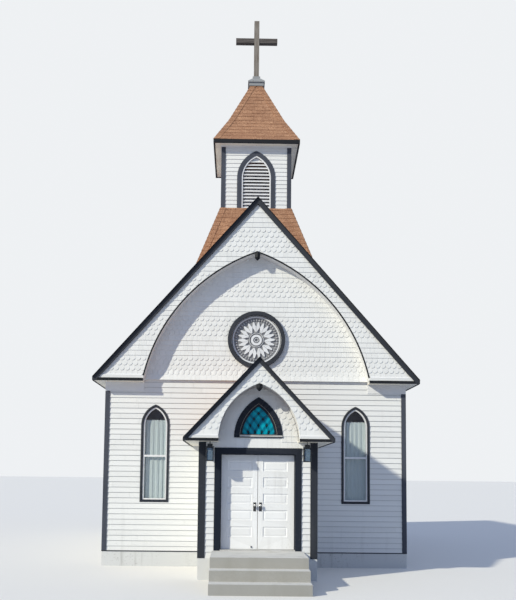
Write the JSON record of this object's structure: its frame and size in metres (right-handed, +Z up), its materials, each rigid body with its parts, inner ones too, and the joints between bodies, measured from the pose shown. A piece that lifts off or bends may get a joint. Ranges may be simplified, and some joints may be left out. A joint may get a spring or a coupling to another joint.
{
  "type": "small timber chapel",
  "caption": "Small timber chapel with pointed-arch gable screens, a gabled vestibule with double doors, a rose window and a louvred belfry under a flared roof and cross.",
  "frame": {"origin": "on the ground, on the centreline, in the plane of the nave's front wall", "axes": "+Z up, +Y from the front wall back along the nave, +X to the right as one faces the entrance"},
  "size_m": [8, 15.685, 15.753],
  "materials": {
    "concrete": "cast concrete, weathered",
    "white_siding": "white painted clapboards and cut shingles",
    "white_trim": "white painted boards",
    "dark_trim": "charcoal painted boards",
    "roof_shingles": "rust brown mineral-faced shingles on boards",
    "floor_boards": "varnished boards",
    "door_white": "white painted panelled doors",
    "sill_wood": "worn timber sill",
    "window_glass": "dark clear glass",
    "teal_glass": "teal leaded glass",
    "curtain_cloth": "white gathered curtain",
    "black_metal": "satin black",
    "door_hardware": "black plates with worn knobs",
    "cap_paint": "grey white paint",
    "cross_timber": "weathered grey brown timber"
  },
  "bodies": {
    "building": {"arch_pendants": "dark_trim", "corner_boards": "dark_trim", "cross": "cross_timber", "curtains": "curtain_cloth", "door_frame": "dark_trim", "door_hinges": "door_hardware", "door_sill": "sill_wood", "eave_fascias": "dark_trim", "eave_soffits": "white_trim", "foundation": "concrete", "frieze_boards": "white_trim", "front_wall_gable": "white_siding", "front_wall_left": "white_siding", "front_wall_right": "white_siding", "gable_arch_edge": "dark_trim", "gable_screen_left": "white_siding", "gable_screen_right": "white_siding", "landing_step": "concrete", "lanterns": "black_metal", "louvre_frames": "dark_trim", "louvre_slats": "white_trim", "lower_steps": "concrete", "nave_floor": "floor_boards", "nave_roof_left": "roof_shingles", "nave_roof_right": "roof_shingles", "nave_side_walls": "white_siding", "porch_floor": "floor_boards", "porch_front_gable": "white_siding", "porch_front_sides": "white_siding", "porch_roof_left": "roof_shingles", "porch_roof_right": "roof_shingles", "porch_screen_left": "white_siding", "porch_screen_right": "white_siding", "porch_side_walls": "white_siding", "rake_boards": "dark_trim", "rear_wall": "white_siding", "ridge_cap": "roof_shingles", "rose_frame": "dark_trim", "rose_tracery": "white_trim", "tower_cap": "cap_paint", "tower_fascia": "dark_trim", "tower_roof": "roof_shingles", "tower_skirt": "roof_shingles", "tower_walls": "white_siding", "transom_frame": "dark_trim", "transom_glass": "teal_glass", "window_frames": "dark_trim", "window_glass": "window_glass", "window_sashes": "white_trim"},
    "left_door": {"left_door_leaf": "door_white", "left_door_fittings": "door_hardware"},
    "right_door": {"right_door_leaf": "door_white", "right_door_fittings": "door_hardware"}
  },
  "joints": [
    {"name": "left_door_hinge", "type": "hinge", "parent": "building", "child": "left_door", "pos_m": [-0.8, -2.108, 1.66], "axis": [0, 0, 1], "range_deg": [0, 100]},
    {"name": "right_door_hinge", "type": "hinge", "parent": "building", "child": "right_door", "pos_m": [0.8, -2.108, 1.66], "axis": [0, 0, -1], "range_deg": [0, 100]}
  ]
}
